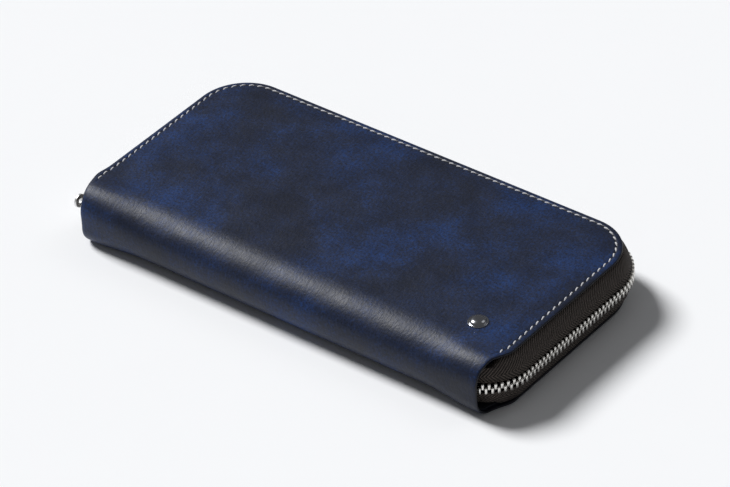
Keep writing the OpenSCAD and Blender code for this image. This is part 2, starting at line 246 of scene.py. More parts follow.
def sheet_mesh(name, sides, rings, place, mats, open_end=False, coons_power=1.0):
    """A sheet of leather or cloth: rings follow its outline from inside to the edge and round to the
    other face, and both faces are filled between their innermost rings.
    sides(d) gives (side, top) at inset d: side runs up the right edge from the low end to the middle
    of its corner, top runs from there to the middle of the left corner. Both are arrays of (x, v).
    rings holds (inset, height, value), and place(x, v, height) gives the 3D points.
    With coons_power above 1, more of the filled rows run straight across, as the low end does."""
    def loop(d):
        side, top = sides(d)
        left = side[::-1] * [-1, 1]
        if open_end:
            return np.concatenate([side, top[1:-1], left])
        low = top[1:-1][::-1]
        low = np.c_[low[:, 0] * side[0][0] / top[0][0], np.full(len(low), side[0][1])]
        return np.concatenate([side, top[1:-1], left, low])

    ns, nt = (len(line) for line in sides(rings[0][0]))
    flats, height, value = [], [], []
    count = len(loop(rings[0][0]))
    for d, h, k in rings:
        flats.append(loop(d))
        height += [h] * count
        value += [k] * count
    faces = grid_faces(len(rings), count, close_cols=not open_end)
    start = len(rings) * count
    for d, h, k in (rings[0], rings[-1]):
        side, top = sides(d)
        low = np.c_[top[:, 0] * side[0][0] / top[0][0], np.full(nt, side[0][1])]
        up, over = run_along(side), run_along(top)
        T, S = np.meshgrid((up / up[-1]) ** coons_power, over / over[-1], indexing="ij")
        left = side * [-1, 1]
        P = ((1 - T)[..., None] * low[None] + T[..., None] * top[None]
             + (1 - S)[..., None] * side[:, None] + S[..., None] * left[:, None])
        P -= ((1 - T) * (1 - S))[..., None] * side[0] + ((1 - T) * S)[..., None] * left[0]
        P -= (T * (1 - S))[..., None] * side[-1] + (T * S)[..., None] * left[-1]
        flats.append(P.reshape(-1, 2))
        height += [h] * (ns * nt)
        value += [k] * (ns * nt)
        faces += grid_faces(ns, nt, start=start)
        start += ns * nt
    if open_end:  # close the cut end with quads between the two faces, and the ends of the rings
        a, b = len(rings) * count, len(rings) * count + ns * nt
        faces += [(a + j, a + j + 1, b + j + 1, b + j) for j in range(nt - 1)]
        right = tuple(range(0, len(rings) * count, count))
        faces += [right, tuple(i + count - 1 for i in right[::-1])]
    flat = np.concatenate(flats)
    return add_mesh(name, place(flat[:, 0], flat[:, 1], np.array(height)), faces, flat, mats, value)


WAIST_V, WAIST_RUN = V_FLAT - 8, 11
SIDE_VS = np.concatenate([  # stations up a side of the shell, closer together round the fold
    np.linspace(V_END, V_ARC, 3)[:-1], np.linspace(V_ARC, V_FLAT, 21)[:-1],
    np.linspace(V_FLAT, V_FLAT - 12, 10)[:-1], np.linspace(V_FLAT - 12, CORNER_R, 38)])


def half_x(v):
    """Half width of the shell at v: a cover is wide, and a waist narrows it to the spine."""
    return HALF_L - INSET * smooth((v - WAIST_V) / WAIST_RUN)


def cut_outline(side, cx, cv, r, steps, cols):
    """(side, top) for sheet_mesh, from the points up a side. Each half of a corner has that many steps."""
    turn = np.radians(np.linspace(0, 90, 2 * steps + 1))
    arc = [(cx + r * math.cos(a), cv - r * math.sin(a)) for a in turn]
    flat = [(x, arc[-1][1]) for x in np.linspace(cx, -cx, cols)[1:-1]]
    top = arc[steps:] + flat + [(-x, v) for x, v in arc[steps:][::-1]]
    return np.array(side + arc[1:steps + 1]), np.array(top)


def cover_sides(d):
    """Outline of half the shell at inset d, from the middle of the spine to the back edge."""
    return cut_outline([(half_x(v) - d, v) for v in SIDE_VS], CORNER_X, CORNER_R, CORNER_R - d, 10, 99)


def rect_sides(d, half, v_low, v_top, r, rows, cols):
    """Outline of a panel with two rounded top corners at inset d."""
    r = max(r - d, 0.05)
    cx, cv = half - d - r, v_top + d + r
    return cut_outline([(half - d, v) for v in np.linspace(v_low - d, cv, rows)], cx, cv, r, 4, cols)


def edge_distance(x, v):
    """Distance in from the cover's outline."""
    x = np.abs(x)
    d = np.minimum(half_x(v) - x, v)
    corner = (x > CORNER_X) & (v < CORNER_R)
    return np.where(corner, CORNER_R - np.hypot(x - CORNER_X, v - CORNER_R), d)


BEND_Y = -20.0
BEND_V = HALF_W - BEND_Y


def section_table(reach, rise):
    """Section of half the shell from BEND_Y to the middle of the spine, as rows of (y, z): a flat
    part, then a quarter of an ellipse that reaches in by `reach` and up by `rise`, then the wall."""
    a = np.linspace(0, math.pi / 2, 90)
    y = np.r_[BEND_Y, -HALF_W + reach - reach * np.sin(a), -HALF_W]
    z = np.r_[0, rise - rise * np.cos(a), MID]
    run = run_along(np.c_[y, z])
    at = np.linspace(0, run[-1], 240)
    return np.c_[np.interp(at, run, y), np.interp(at, run, z)]


# (middle, ends) for the upper and the lower fold: each is broad along the middle and tighter at its
# two ends, and the change between them starts at ENDS_X
SECTIONS = {True: (section_table(14.5, 11.5), section_table(10.5, 10.2)),
            False: (section_table(11.0, 11.5), section_table(6.5, 8.0))}
ENDS_X, ENDS_RUN = 66, 26
# How far the two ends of the shell move along X, and over which v:
FLARE, FLARE_V, FLARE_RUN = 1.8, 75, 16  # the left end widens into the fold
SWELL, SWELL_V, SWELL_SPREAD = 1.1, 91, 4.5  # and swells where the leather bends most
TUCK, TUCK_V, TUCK_RUN = 0.4, 97, 8  # then draws back a little down the wall
DRAW, DRAW_V, DRAW_RUN = 1.2, V_FLAT + 1, 9  # the right end draws in


def end_shift(x, v):
    """How far a point of the shell moves towards -X: nothing in its middle, most at its ends."""
    left = (FLARE * smooth((v - FLARE_V) / FLARE_RUN) + SWELL * np.exp(-((v - SWELL_V) / SWELL_SPREAD) ** 2)
            - TUCK * smooth((v - TUCK_V) / TUCK_RUN))
    right = DRAW * smooth((v - DRAW_V) / DRAW_RUN)
    return np.where(x < 0, left, right) * (np.abs(x) / SPINE_HALF) ** 4


def shell_point(x, v, h, upper):
    """3D point of the shell at distance v from the back edge, h outside its outer face."""
    middle, ends = SECTIONS[upper]
    at = np.clip((v - BEND_V) / (V_END - BEND_V), 0, 1) * (len(middle) - 1)
    near = smooth((np.abs(x) - ENDS_X) / ENDS_RUN)
    grid = np.arange(len(middle))
    point, slope = [], []
    for k in (0, 1):
        line = [np.interp(at, grid, t[:, k]) for t in (middle, ends)]
        steep = [np.interp(at, grid, np.gradient(t[:, k])) for t in (middle, ends)]
        point.append(line[0] * (1 - near) + line[1] * near)
        slope.append(steep[0] * (1 - near) + steep[1] * near)
    size = np.hypot(*slope)
    y, z = point[0] + h * slope[1] / -size, point[1] + h * slope[0] / size
    flat = v < BEND_V
    y, z = np.where(flat, HALF_W - v, y), np.where(flat, -h, z)
    return np.c_[x - end_shift(x, v), y, HEIGHT - z if upper else z]


def flat_point(z, upper=False, wave=0.0):
    """Placer for a flat sheet whose middle plane is at height z above the lower cover's face."""
    def place(x, v, h):
        zz = z + h + wave * np.sin(x / 23 + 0.7) * np.sin(v / 17)
        return np.c_[x, HALF_W - v, HEIGHT - zz if upper else zz]
    return place


# ---- materials
class Shader:
    """A Principled material built up from procedural nodes."""

    def __init__(self, name, uv=True, **constants):
        self.mat = bpy.data.materials.new(name)
        self.mat.use_nodes = True
        self.nt = self.mat.node_tree
        self.bsdf = self.nt.nodes["Principled BSDF"]
        for key, value in constants.items():
            self.bsdf.inputs[key.replace("_", " ")].default_value = value
        if uv:
            source, size = self.node("UVMap", uv_map="cut").outputs[0], UV_MM
        else:
            source, size = self.node("TexCoord").outputs["Object"], 1 / MM
        self.mm = self.mapped(source, (size,) * 3)

    def node(self, kind, inputs=None, **props):
        n = self.nt.nodes.new("ShaderNode" + kind)
        for key, value in props.items():
            setattr(n, key, value)
        for key, value in (inputs or {}).items():
            self.put(n.inputs[key], value)
        return n

    def put(self, socket, value):
        if isinstance(value, bpy.types.NodeSocket):
            self.nt.links.new(value, socket)
        else:
            socket.default_value = value

    def mapped(self, vector, scale=(1, 1, 1), shift=(0, 0, 0)):
        return self.node("Mapping", {"Vector": vector, "Scale": scale, "Location": shift}).outputs[0]

    def math(self, op, a, b=0.0):
        return self.node("Math", {0: a, 1: b}, operation=op).outputs[0]

    def times(self, a, b):
        return self.math("MULTIPLY", a, b)

    def plus(self, a, b):
        return self.math("ADD", a, b)

    def sine(self, value, pitch):
        return self.math("SINE", self.times(value, 2 * math.pi / pitch))

    def noise(self, size, detail=3.0, rough=0.55, distort=0.0, vector=None):
        return self.node("TexNoise", {"Vector": vector or self.mm, "Scale": 1 / size, "Detail": detail,
                                      "Roughness": rough, "Distortion": distort}).outputs["Fac"]

    def cells(self, size):
        """Soft-edged pebbles: 1 in the middle of each, less towards its edge."""
        n = self.node("TexVoronoi", {"Vector": self.mm, "Scale": 1 / size}, feature="SMOOTH_F1")
        return self.math("SUBTRACT", 1.0, n.outputs["Distance"])

    def span(self, value, lo, hi, to_lo=0.0, to_hi=1.0):
        return self.node("MapRange", {"Value": value, "From Min": lo, "From Max": hi, "To Min": to_lo,
                                      "To Max": to_hi}, interpolation_type="SMOOTHSTEP").outputs[0]

    def mix(self, fac, a, b):
        n = self.node("Mix", data_type="RGBA")
        for index, value in ((0, fac), (6, a), (7, b)):
            if index and not isinstance(value, bpy.types.NodeSocket) and len(value) == 3:
                value = (*value, 1)
            self.put(n.inputs[index], value)
        return n.outputs[2]

    def value_of(self, attribute):
        return self.node("Attribute", attribute_name=attribute).outputs["Fac"]

    def bump(self, height, distance, strength):
        inputs = {"Height": height, "Distance": distance * MM, "Strength": strength}
        return self.node("Bump", inputs).outputs[0]

    def finish(self, color, rough, normal):
        for key, value in (("Base Color", color), ("Roughness", rough), ("Normal", normal)):
            self.put(self.bsdf.inputs[key], value)
        return self.mat


# Colours are linear RGB. Sizes of noise and cells are in millimetres.
NAVY_DARK, NAVY_MID, NAVY_BRIGHT = (0.0068, 0.0102, 0.0235), (0.0092, 0.0172, 0.048), (0.0075, 0.036, 0.142)
PORE, EDGE_PAINT, FLESH_SIDE = (0.0035, 0.0045, 0.009), (0.006, 0.0075, 0.014), (0.03, 0.035, 0.05)
CLOUD_SHIFT = (294.0, -105.0, 0)  # which part of the noise falls on the covers


def leather_material():
    """Navy leather: dyed in patches, fine pebbled grain, dark painted edge (edge = 1), flesh side (2)."""
    s = Shader("navy_leather", Specular_IOR_Level=0.28)
    shifted = s.mapped(s.mm, shift=CLOUD_SHIFT)
    clouds = s.noise(36, 6, 0.62, 0.3, shifted)
    blots = s.noise(13, 5, 0.65, 0.3, shifted)
    speck = s.noise(1.25, 3, 0.75)
    tone = s.plus(s.times(clouds, 0.72), s.times(blots, 0.28))
    tone = s.plus(tone, s.times(s.math("SUBTRACT", speck, 0.5), 0.52))
    color = s.mix(s.span(tone, 0.33, 0.56), NAVY_DARK, NAVY_MID)
    color = s.mix(s.span(tone, 0.48, 0.74), color, NAVY_BRIGHT)
    pores = s.span(s.noise(0.9, 2, 0.6), 0.50, 0.68)
    color = s.mix(s.times(pores, 0.65), color, PORE)
    edge = s.value_of("edge")
    painted = s.span(edge, 0.35, 0.9)
    color = s.mix(painted, color, EDGE_PAINT)
    color = s.mix(s.span(edge, 1.3, 1.8), color, FLESH_SIDE)
    height = s.plus(s.times(s.cells(1.15), 0.55), s.times(s.noise(0.8, 3, 0.65), 0.6))
    creases = s.noise(2.2, 4, 0.62, 0.8, s.mapped(s.mm, (1.7, 0.5, 1)))
    height = s.plus(height, s.times(s.span(creases, 0.42, 0.6), 0.45))
    rough = s.plus(s.span(blots, 0.3, 0.7, 0.42, 0.50), s.times(painted, -0.06))
    return s.finish(color, rough, s.bump(height, 0.10, 0.62))


def pocket_material():
    """Thin navy leather of the pockets, with a fine even grain."""
    s = Shader("pocket_leather", Specular_IOR_Level=0.3)
    fine = s.noise(0.6, 3, 0.6)
    color = s.mix(s.noise(4.0, 5, 0.65), (0.008, 0.012, 0.03), (0.02, 0.032, 0.085))
    color = s.mix(s.times(s.span(fine, 0.52, 0.72), 0.5), color, (0.006, 0.008, 0.018))
    height = s.plus(s.times(s.cells(0.9), 0.6), s.times(fine, 0.4))
    return s.finish(color, s.span(fine, 0, 1, 0.47, 0.62), s.bump(height, 0.09, 0.55))


def weave_material(name, dark, light, pitch):
    """Plain weave, warp and weft crossing over and under each other."""
    s = Shader(name, Specular_IOR_Level=0.3)
    split = s.node("SeparateXYZ", {0: s.mm})
    over = s.times(s.sine(split.outputs[0], 2 * pitch), s.sine(split.outputs[1], 2 * pitch))
    fuzz = s.noise(0.25, 3, 0.7)
    color = s.mix(s.span(over, -0.6, 0.6), dark, light)
    color = s.mix(s.times(s.noise(6, 3), 0.4), color, dark)
    color = s.mix(s.times(fuzz, 0.35), color, light)
    height = s.plus(s.math("ABSOLUTE", over), s.times(fuzz, 0.4))
    return s.finish(color, s.span(fuzz, 0, 1, 0.75, 0.93), s.bump(height, 0.09, 0.8))


RIB_PITCH, RIB_SLANT, TAPE_THREAD = 1.2, 0.9, 0.42
TAPE_MIDDLE = 6.2  # where the ribs change their slant, in the tape's UVs


def tape_material():
    """Dark brown zip tape in herringbone: ribs slant one way, then the other past the middle line. Its colour
    darkens into the grooves between the ribs as painted shade.
    """
    s = Shader("zip_tape", Specular_IOR_Level=0.35)
    split = s.node("SeparateXYZ", {0: s.mm})
    along, across = split.outputs[0], split.outputs[1]
    zigzag = s.math("ABSOLUTE", s.math("SUBTRACT", across, TAPE_MIDDLE))
    phase = s.plus(along, s.times(zigzag, RIB_SLANT))
    ribs, threads = s.sine(phase, RIB_PITCH), s.sine(across, TAPE_THREAD)
    fuzz = s.noise(0.3, 3, 0.7)
    # Near black in the grooves between the ribs and brown on their crests: painted shade.
    color = s.mix(s.span(ribs, -0.8, 0.8), (0.005, 0.004, 0.0035), (0.088, 0.070, 0.060))
    color = s.mix(s.times(fuzz, 0.35), color, (0.06, 0.048, 0.04))
    height = s.plus(ribs, s.times(threads, 0.35))
    return s.finish(color, s.span(fuzz, 0, 1, 0.72, 0.92), s.bump(height, 0.2, 0.8))


def metal_material(name, color, low, high, brushed=0.4):
    """Metal with fine scratches and a slightly uneven polish, its roughness from low to high."""
    s = Shader(name, Metallic=1.0)
    smudge = s.noise(2.4, 4, 0.6)
    lines = s.noise(0.5, 3, 0.6, 0.0, s.mapped(s.mm, (0.25, 3.0, 1)))
    tint = tuple(c * 0.72 for c in color)
    mixed = s.mix(s.times(smudge, 0.6), color, tint)
    rough = s.span(s.plus(smudge, s.times(lines, 0.4)), 0.4, 1.0, low, high)
    height = s.plus(s.times(lines, brushed), s.noise(1.1, 2))
    return s.finish(mixed, rough, s.bump(height, 0.02, 0.5))


STRAND_PITCH = 0.42


def thread_material():
    """Waxed pale grey thread, twisted strands, darker in the grooves between them as painted shade."""
    s = Shader("thread", Specular_IOR_Level=0.4)
    twist = s.sine(s.node("SeparateXYZ", {0: s.mm}).outputs[0], STRAND_PITCH)
    fuzz = s.noise(0.2, 3, 0.7)
    # Darker grey where twist is low, in the grooves between the strands: painted shade.
    color = s.mix(s.span(twist, -0.9, 0.5), (0.36, 0.36, 0.37), (0.78, 0.78, 0.80))
    color = s.mix(s.times(fuzz, 0.4), color, (0.86, 0.86, 0.87))
    return s.finish(color, s.span(fuzz, 0, 1, 0.5, 0.7), s.bump(twist, 0.05, 0.7))


def plain_material(name, dark, light, size, rough, uv=True, bump=0.05):
    """Matt surface with fine mottling, for board, the floor, and the near-black stitch holes, whose dark is
    painted shade.
    """
    s = Shader(name, uv=uv, Specular_IOR_Level=0.3)
    color = s.mix(s.noise(size, 5, 0.65), dark, light)
    grain = s.noise(size / 6, 4, 0.7)
    return s.finish(color, s.span(grain, 0, 1, rough - 0.08, rough + 0.06), s.bump(grain, bump, 0.4))


LEATHER = leather_material()
POCKET = pocket_material()
LINING = weave_material("lining_cloth", (0.012, 0.013, 0.017), (0.05, 0.054, 0.066), 0.42)
TAPE = tape_material()
NICKEL = metal_material("zip_nickel", (0.80, 0.78, 0.74), 0.16, 0.36)
SLIDER = metal_material("slider_metal", (0.86, 0.86, 0.86), 0.32, 0.5)
STUD = metal_material("dark_chrome", (0.42, 0.43, 0.46), 0.10, 0.24, 0.15)
THREAD = thread_material()
HOLE_SHADE = plain_material("stitch_hole_shade", (0.002, 0.002, 0.003), (0.006, 0.006, 0.008), 1.0, 0.8)
BOARD = plain_material("greyboard", (0.18, 0.16, 0.13), (0.36, 0.33, 0.28), 1.5, 0.9)
FLOOR = plain_material("pale_floor", (0.885, 0.895, 0.912), (0.90, 0.91, 0.925), 90.0, 0.75,
                       uv=False, bump=0.02)


def done(ob, slot, body, *nodes):
    """Attaches a finished piece to its body, or bakes its transform in place when given a blend, and hides
    the CAD nodes it stands for. slot is not used.
    """
    if isinstance(body, str):
        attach(ob, body)
    else:
        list(body)
        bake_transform(ob)
    if nodes:
        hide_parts(*nodes)


# (half, the other word for it in CAD names, is it the upper one, its body)
HALVES = (("lower", "bottom", False, "bottom_half"), ("upper", "top", True, "top_half"))


def fold_blend(upper):
    """The two bodies and the start and end of the bend over one fold."""
    flat, wall = (0, FOLD_Y * MM, 0), (0, -HALF_W * MM, FOLD_R * MM)
    if not upper:
        return "bottom_half", "spine", flat, wall
    flip = HEIGHT * MM
    return "spine", "top_half", (0, wall[1], flip - wall[2]), (0, flat[1], flip)


# ---- leather shell
PUFF = 0.4  # how far the top cover rises in its middle
STITCH_INSET = 2.5
STITCH_END_V = V_FLAT - 4.6  # the seam stops before the fold

# (inset, height above the outer face, edge value) from the outer face round to the flesh side
LEATHER_RINGS = [
    (6.0, 0, 0), (5.0, 0, 0), (4.2, 0, 0), (3.6, 0, 0), (3.2, -0.01, 0), (2.95, -0.02, 0),
    (2.72, -0.03, 0.2), (2.5, -0.04, 0.3), (2.28, -0.04, 0.2), (2.05, -0.04, 0), (1.75, -0.05, 0),
    (1.3, -0.08, 0), (0.85, -0.14, 0.1), (0.5, -0.23, 0.45), (0.22, -0.38, 1), (0.06, -0.55, 1),
    (0.0, -0.75, 1), (0.1, -0.98, 1), (0.35, -1.18, 1), (0.8, -1.29, 1.2), (2.0, -1.3, 2), (6.0, -1.3, 2)]
RING_T = 1.3  # the thickness that LEATHER_RINGS is drawn at
OUTER_FACE = -0.7  # rings above this height belong to the outer face
GROOVE, GROOVE_WIDTH = 0.26, 0.36  # the stitches pull the leather in
WAVE = 0.05  # height of the leather's slight waves, and of the creases over a fold


def shell_place(upper):
    """Placer for a leather shell, with its sewn groove, its waves and the top cover's rise."""
    def place(x, v, h):
        d = edge_distance(x, v)
        sewn = 1 - smooth((v - STITCH_END_V - 0.5) / 2.5)
        groove = -GROOVE * np.exp(-((d - STITCH_INSET) / GROOVE_WIDTH) ** 2) * sewn
        run = v if upper else 2 * V_END - v
        wave = (np.sin(x / 17 + 1.3) * np.sin(run / 13 + 0.4)
                + 0.5 * np.sin(x / 7.3 + 2) * np.cos(run / 8.1)) * WAVE
        wave += WAVE * np.sin(x / 4.1 + np.sin(run / 5)) * np.exp(-((v - V_FLAT - 5) / 5) ** 2)
        wave *= smooth((d - 3.5) / 5)
        if upper:
            puff = PUFF * smooth((d - 2.9) / 8) * (1 - smooth((v - 62) / 26))
        else:  # the face that the wallet rests on stays flat
            wave, puff = wave * smooth((v - V_FLAT - 3) / 6), 0.0
        lift = np.where(h > OUTER_FACE, groove + puff + wave, 0.0)
        return shell_point(x, v, h * LEATHER_T / RING_T + lift, upper)
    return place


for half, end, is_upper, _ in HALVES:
    shell = sheet_mesh("leather_shell_" + half, cover_sides, LEATHER_RINGS,
                       shell_place(is_upper), [LEATHER], open_end=True, coons_power=3.0)
    if not is_upper:  # its grain and patches run on from the upper half's, as on one sheet
        for item in shell.data.uv_layers["cut"].data:
            item.uv[1] = (2 * V_END) / UV_MM - item.uv[1]
    done(shell, "cover_leather", fold_blend(is_upper), "leather_" + end, "leather_spine")

# ---- stitching round the covers
STITCH_ARC = math.pi * (CORNER_R - STITCH_INSET) / 2
STITCH_HALF = CORNER_X + STITCH_ARC + STITCH_END_V - CORNER_R
STITCH_PITCH = 3.45
STITCH_COUNT = int(STITCH_HALF / STITCH_PITCH)


def rim_flat(s, inset):
    """(x, v, direction x, direction v) on a cover at distance s along the line at that inset."""
    r = CORNER_R - inset
    a = abs(s)
    if a < CORNER_X:
        p = (a, inset, 1, 0)
    elif a < CORNER_X + math.pi * r / 2:
        t = (a - CORNER_X) / r
        p = (CORNER_X + r * math.sin(t), CORNER_R - r * math.cos(t), math.cos(t), math.sin(t))
    else:
        v = CORNER_R + a - CORNER_X - math.pi * r / 2
        p = (half_x(v) - inset, v, 0, 1)
    return p if s >= 0 else (-p[0], p[1], p[2], -p[3])


THREAD_BOW, THREAD_SLANT = 0.17, 0.12
HOLE_HALF_L, HOLE_HALF_W = 0.62, 0.3


def seam(pile, point, count, pitch, length=2.0, radius=0.33, sink=0.24, holes=True):
    """Row of 2 count + 1 stitches: point(s) gives (position, along, outward) in 3D. Threads bow out
    of the leather, slant a little and dive into it, with a near-black oval of painted shade for the hole
    between each two."""
    for i in range(-count, count + 1):
        s = i * pitch
        pos, along, out = (np.array(q, float) for q in point(s))
        side = np.cross(out, along)
        t = np.linspace(-1, 1, 7)
        bow = THREAD_BOW * (1 - t ** 2) - sink * t ** 4
        line = (pos + t[:, None] * length / 2 * along + bow[:, None] * out
                + (THREAD_SLANT * t)[:, None] * side * length)
        verts, faces = tube(line, radius * (1 - 0.25 * t ** 4), 8)
        pile.add(verts, faces, np.c_[s + (verts - pos) @ along, (verts - pos) @ side])
        if holes and i < count:
            # A near-black oval sits on the leather at each hole: painted shade.
            pos, along, out = (np.array(q, float) for q in point(s + pitch / 2))
            side = np.cross(out, along)
            a = np.linspace(0, 2 * math.pi, 10, endpoint=False)
            oval = HOLE_HALF_L * np.cos(a)[:, None] * along + HOLE_HALF_W * np.sin(a)[:, None] * side
            ring = [pos + k * oval + o * out for k, o in ((1.0, -0.25), (1.0, 0.0), (0.8, 0.03), (0.3, 0.01))]
            pile.add(*lofted(ring), mat=1)


SEAM_DEPTH = 0.2  # below the outer face, because of the groove
STEP = 0.1  # how far apart the points are that give a seam its directions


def cover_seam_point(upper):
    """Placer for the seam round a cover."""
    def at(x, v):
        return shell_point(np.array([x]), np.array([v]), np.array([-SEAM_DEPTH]), upper)[0]

    def point(s):
        x, v, dx, dv = rim_flat(s, STITCH_INSET)
        p, q = at(x, v), at(x + dx * STEP, v + dv * STEP)
        along = (q - p) / np.linalg.norm(q - p)
        across = (at(x - dv * STEP, v + dx * STEP) - p) * (1 if upper else -1)
        out = np.cross(across, along)
        out /= np.linalg.norm(out)
        return p, along, out if (out[2] > 0) == upper else -out
    return point


for half, end, is_upper, body in HALVES:
    pile = Pile()
    seam(pile, cover_seam_point(is_upper), STITCH_COUNT, STITCH_HALF / STITCH_COUNT)
    if not is_upper:  # the lower seam stays above the face that the wallet rests on
        pile.v = [np.c_[p[:, :2], np.maximum(p[:, 2], 0.03)] for p in pile.v]
    done(pile.build("seam_" + half, [THREAD, HOLE_SHADE]), "thread", body, "stitching_" + end)

# ---- linings, panels, card strips
LINING_T = LINING_HI[2] - LINING_LO[2]
LINING_INSET = HALF_L - LINING_HI[0]
LINING_RINGS = [(LINING_INSET + d, h, 0) for d, h in (
    (3, 0), (0.8, 0), (0.15, -0.02), (0, -LINING_T / 2), (0.15, 0.02 - LINING_T), (0.8, -LINING_T),
    (3, -LINING_T))]


def lining_place(upper):
    """Placer for a lining: over the board, then down against the leather before its fold."""
    deep, near = LINING_LO[2], LEATHER_T + 0.08

    def place(x, v, h):
        depth = deep + (near - deep) * smooth((v - V_FLAT + 5) / 8)
        ripple = 0.05 * np.sin(x / 11) * np.sin(v / 6)
        return shell_point(x, v, h - depth + np.minimum(ripple, 0) * 0.5, upper)
    return place


for half, end, is_upper, body in HALVES:
    sheet = sheet_mesh("lining_" + half, cover_sides, LINING_RINGS,
                       lining_place(is_upper), [LINING], open_end=True, coons_power=3.0)
    done(sheet, "lining", fold_blend(is_upper), "lining_" + end, "lining_spine")
    half_t = (BOARD_HI[2] - BOARD_LO[2]) / 2
    rings = [(3, half_t, 0), (0.1, half_t, 0), (0, half_t - 0.1, 0), (0, 0.1 - half_t, 0), (0.1, -half_t, 0),
             (3, -half_t, 0)]
    board = sheet_mesh("stiffener_" + half, lambda d: rect_sides(d, BOARD_HI[0], BEND_V + 13, 6, 14, 24, 48),
                       rings, flat_point(middle_mm("board_bottom")[2], is_upper), [BOARD])
    done(board, "stiffener", body, "board_" + end)


def panel_rings(t):
    """Rounded edge of a panel of thickness t, with a shallow sewn line inside it."""
    h = t / 2
    return [(6, h, 0), (3.2, h, 0), (1.9, h, 0), (1.5, h * 0.72, 0), (1.1, h, 0), (0.35, h, 0),
            (0.1, h * 0.72, 0.5), (0, 0, 0.6), (0.1, -h * 0.72, 0.5), (0.35, -h, 0), (6, -h, 0)]


def panel_piece(node, source, body, corner, grid, upper=False, tail=0, rim=6, wave=0.0):
    """Leather panel for a CAD node, in the box of the node source, which is flipped for an upper
    panel. tail lengthens it towards the spine, and rim is the most that its rings run in."""
    lo, hi = box_mm(source)
    rings = [(min(d, rim), h, k) for d, h, k in panel_rings(hi[2] - lo[2])]

    def sides(d):
        return rect_sides(d, hi[0], HALF_W - lo[1] + tail, HALF_W - hi[1], corner, *grid)
    place = flat_point(middle_mm(source)[2], upper, wave)
    done(sheet_mesh(node + "_leather", sides, rings, place, [POCKET]), "pocket_leather", body, node)


TIERS = (1, 2, 3)
for half, _, is_upper, body in HALVES:
    panel_piece("bill_panel_" + half, "bill_panel_lower", body, 12, (24, 48), is_upper)
    for tier in TIERS:
        panel_piece(f"card_strip_{half}_{tier}", f"card_strip_lower_{tier}", body, 1.5, (12, 60), is_upper,
                    tail=6, rim=5.9)

# ---- zip path round the rim
TURN_R, TURN_Y, TURN_A = 15.0, FOLD_Y + 11, 68.0  # the turn in towards the spine at both ends
TURN_X = HALF_L - TURN_R
TOOTH_HALF_D = 1.1
CHAIN_OFFSET = box_mm("zip_teeth_lower")[1][0] - HALF_L - TOOTH_HALF_D


def straight_end(r):
    """Distance along the path from its middle to the start of the turn, with corners of radius r."""
    return CORNER_X + math.pi * r / 2 + CORNER_Y - TURN_Y


def rim_point(offset, s):
    """(x, y, outward angle in radians) at distance s along the path at that offset outside the covers."""
    r, a = CORNER_R + offset, abs(s)
    corner, side = a - CORNER_X, a - CORNER_X - math.pi * r / 2
    turn = side - (CORNER_Y - TURN_Y)
    if corner < 0:
        p = (a, HALF_W + offset, math.pi / 2)
    elif side < 0:
        t = math.pi / 2 - corner / r
        p = (CORNER_X + r * math.cos(t), CORNER_Y + r * math.sin(t), t)
    elif turn < 0:
        p = (HALF_L + offset, CORNER_Y - side, 0.0)
    else:
        t = -turn / (TURN_R + offset)
        p = (TURN_X + (TURN_R + offset) * math.cos(t), TURN_Y + (TURN_R + offset) * math.sin(t), t)
    return p if s >= 0 else (-p[0], p[1], math.pi - p[2])


def path_stations():
    """(x, y, angle, length, turn share) along the tape at offset 0, from the left end to the right."""
    corner_end, last = CORNER_X + math.pi * CORNER_R / 2, straight_end(CORNER_R)
    total = last + TURN_R * math.radians(TURN_A)
    half = [i * 3.0 for i in range(int(CORNER_X / 3) + 1)]
    for start, stop, count in ((CORNER_X, corner_end, 17), (corner_end, last, 21), (last, total, 13)):
        half += list(np.linspace(start, stop, count))
    half = sorted(set(half))
    out = []
    for s in [-q for q in half[:0:-1]] + half:
        x, y, a = rim_point(0, s)
        out.append((x, y, a, s, max(0.0, (abs(s) - last) / (total - last))))
    return np.array(out)


TAPE_T, TAPE_WIDTH = 0.5, 15.5
WALL_R, WALL_Z = 15.0, MID - 1  # radius and height of the middle of the tape's bulging wall
WALL_X = CHAIN_OFFSET + 0.1 - WALL_R
TUCKED_X, LIFTED_Z = -5.0, 4.2  # the tape's foot under the cover, and its height past the turn


def tape_section():
    """Section of the lower tape as rows of (outwards, up): its foot, its wall and its corded bead."""
    foot, top = TAPE_LO[2], TAPE_HI[2]
    z_wall = np.linspace(2.2, top - 0.15, 12)
    outer, inner = ([(WALL_X + math.sqrt(r * r - (z - WALL_Z) ** 2), z) for z in z_wall]
                    for r in (WALL_R, WALL_R - TAPE_T))
    bead_x, bead_z = (outer[-1][0] + inner[-1][0]) / 2 - 0.05, top - 0.35
    bead = [(bead_x + 0.5 * math.cos(a), bead_z + 0.45 * math.sin(a))
            for a in np.radians(np.linspace(-40, 220, 9))]
    under = [(TUCKED_X, foot + TAPE_T), (TUCKED_X - 0.1, foot + TAPE_T / 2), (TUCKED_X, foot), (-3.0, foot),
             (-1.4, foot + 0.02), (-0.7, foot + 0.2), (-0.35, foot + 0.5)]
    over = [(-1.0, foot + 0.7), (-1.6, foot + TAPE_T + 0.05), (-3.0, foot + TAPE_T)]
    return np.array(under + outer[:-1] + bead + inner[:-1][::-1] + over), len(under) - 1


